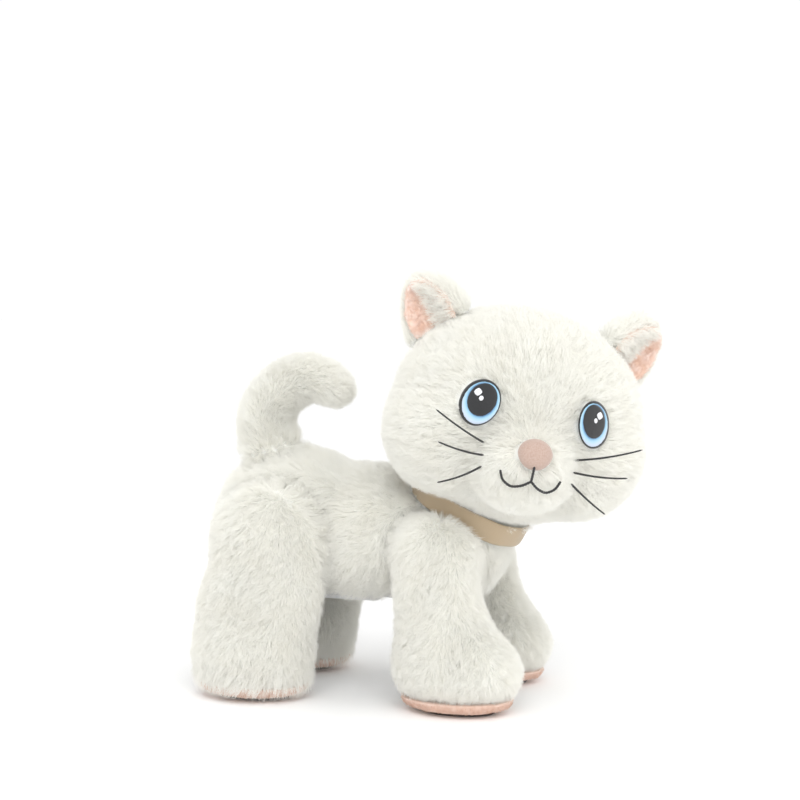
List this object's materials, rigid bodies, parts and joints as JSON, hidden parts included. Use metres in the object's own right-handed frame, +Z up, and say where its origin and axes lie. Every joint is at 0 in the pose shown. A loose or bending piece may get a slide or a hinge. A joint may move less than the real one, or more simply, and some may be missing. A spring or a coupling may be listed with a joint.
{
  "type": "interactive plush pet",
  "caption": "Standing plush kitten with a curled tail, turned head, pink nose, paw pads and ribbon collar, over a battery-driven walking chassis.",
  "frame": {"origin": "centre of the bounding box at floor level", "axes": "+Z up; the body faces -Y and the tail is toward +Y; +X is the kitten's left"},
  "size_m": [0.1792, 0.2912, 0.2685],
  "materials": {
    "white_fur": "long pile plush",
    "pink_pile": "short pile plush",
    "nose_flock": "flocked",
    "ribbon": "woven, satin sheen",
    "eye_embroidery": "satin stitch",
    "black_thread": "waxed thread",
    "rubber_sole": "matte",
    "white_plastic": "moulded",
    "gear_plastic": "moulded",
    "black_plastic": "moulded",
    "steel": "bright",
    "circuit_board": "lacquered board",
    "battery_jacket": "printed jacket, no marks"
  },
  "bodies": {
    "chassis": {"chassis_lower": "white_plastic", "chassis_upper": "white_plastic", "neck_post": "white_plastic", "battery_right": "battery_jacket", "battery_middle": "battery_jacket", "battery_left": "battery_jacket", "battery_door": "white_plastic", "door_screw": "steel", "circuit_board": "circuit_board", "speaker": "black_plastic", "gearbox_case": "gear_plastic", "drive_motor": "steel", "leg_axle_front": "steel", "leg_axle_hind": "steel", "body_skin": "white_fur", "collar": "ribbon"},
    "tail": {"tail_skin": "white_fur", "tail_core": "white_plastic"},
    "head": {"head_skin": "white_fur", "skull_front": "white_plastic", "skull_back": "white_plastic", "neck_servo": "black_plastic", "eye_right": "eye_embroidery", "eye_left": "eye_embroidery", "nose": "nose_flock", "mouth_stitching": "black_thread", "whisker_upper_right": "black_thread", "whisker_middle_right": "black_thread", "whisker_lower_right": "black_thread", "whisker_upper_left": "black_thread", "whisker_middle_left": "black_thread", "whisker_lower_left": "black_thread", "ear_right": "white_fur", "ear_lining_right": "pink_pile", "ear_left": "white_fur", "ear_lining_left": "pink_pile"},
    "crank": {"crank_right": "gear_plastic", "crank_left": "gear_plastic"},
    "drive_bar_right": {"drive_bar_right": "gear_plastic"},
    "drive_bar_left": {"drive_bar_left": "gear_plastic"},
    "back_button": {"back_button": "white_plastic"},
    "head_button": {"head_button": "white_plastic"},
    "power_switch": {"power_switch": "black_plastic"},
    "leg_front_right": {"leg_skin_front_right": "white_fur", "leg_frame_front_right": "white_plastic", "paw_pad_front_right": "pink_pile", "paw_sole_front_right": "rubber_sole"},
    "leg_front_left": {"leg_skin_front_left": "white_fur", "leg_frame_front_left": "white_plastic", "paw_pad_front_left": "pink_pile", "paw_sole_front_left": "rubber_sole"},
    "leg_hind_right": {"leg_skin_hind_right": "white_fur", "leg_frame_hind_right": "white_plastic", "paw_pad_hind_right": "pink_pile", "paw_sole_hind_right": "rubber_sole"},
    "leg_hind_left": {"leg_skin_hind_left": "white_fur", "leg_frame_hind_left": "white_plastic", "paw_pad_hind_left": "pink_pile", "paw_sole_hind_left": "rubber_sole"}
  },
  "joints": [
    {"name": "head_turn", "type": "hinge", "parent": "chassis", "child": "head", "pos_m": [0.01645, -0.02661, 0.121], "axis": [0, -0.4695, 0.8829], "range_deg": [-6, 72]},
    {"name": "tail_wag", "type": "hinge", "parent": "chassis", "child": "tail", "pos_m": [0.01645, 0.10039, 0.14], "axis": [0, 0, 1], "range_deg": [-20, 20]},
    {"name": "leg_front_right", "type": "hinge", "parent": "chassis", "child": "leg_front_right", "pos_m": [-0.02555, -0.01661, 0.097], "axis": [1, 0, 0], "range_deg": [-10, 10]},
    {"name": "leg_front_left", "type": "hinge", "parent": "chassis", "child": "leg_front_left", "pos_m": [0.05845, -0.01661, 0.097], "axis": [1, 0, 0], "range_deg": [-10, 10]},
    {"name": "leg_hind_right", "type": "hinge", "parent": "chassis", "child": "leg_hind_right", "pos_m": [-0.02555, 0.09439, 0.097], "axis": [1, 0, 0], "range_deg": [-10, 10]},
    {"name": "leg_hind_left", "type": "hinge", "parent": "chassis", "child": "leg_hind_left", "pos_m": [0.05845, 0.09439, 0.097], "axis": [1, 0, 0], "range_deg": [-10, 10]},
    {"name": "drive_bar_right", "type": "slide", "parent": "chassis", "child": "drive_bar_right", "axis": [0, 1, 0], "range_m": [-0.0022, 0.0022]},
    {"name": "drive_bar_left", "type": "slide", "parent": "chassis", "child": "drive_bar_left", "axis": [0, 1, 0], "range_m": [-0.0022, 0.0022]},
    {"name": "crank_spin", "type": "hinge", "parent": "chassis", "child": "crank", "pos_m": [0.01645, 0.03939, 0.097], "axis": [1, 0, 0], "continuous": true},
    {"name": "back_button_press", "type": "slide", "parent": "chassis", "child": "back_button", "axis": [0, 0, -1], "range_m": [0, 0.002], "stiffness_N_per_m": 400, "springref_m": -0.0005},
    {"name": "head_button_press", "type": "slide", "parent": "head", "child": "head_button", "axis": [-0.2849, 0.0908, -0.9543], "range_m": [0, 0.002], "stiffness_N_per_m": 400, "springref_m": -0.0005},
    {"name": "power_switch_slide", "type": "slide", "parent": "chassis", "child": "power_switch", "axis": [0, 1, 0], "range_m": [0, 0.003]}
  ],
  "couplings": [
    {"joint": "leg_hind_left", "follows": "leg_front_right", "ratio": 1},
    {"joint": "leg_hind_right", "follows": "leg_front_right", "ratio": -1},
    {"joint": "leg_front_left", "follows": "leg_front_right", "ratio": -1},
    {"joint": "drive_bar_right", "follows": "leg_front_right", "m_per_rad": 0.012},
    {"joint": "drive_bar_left", "follows": "leg_front_right", "m_per_rad": -0.012}
  ]
}
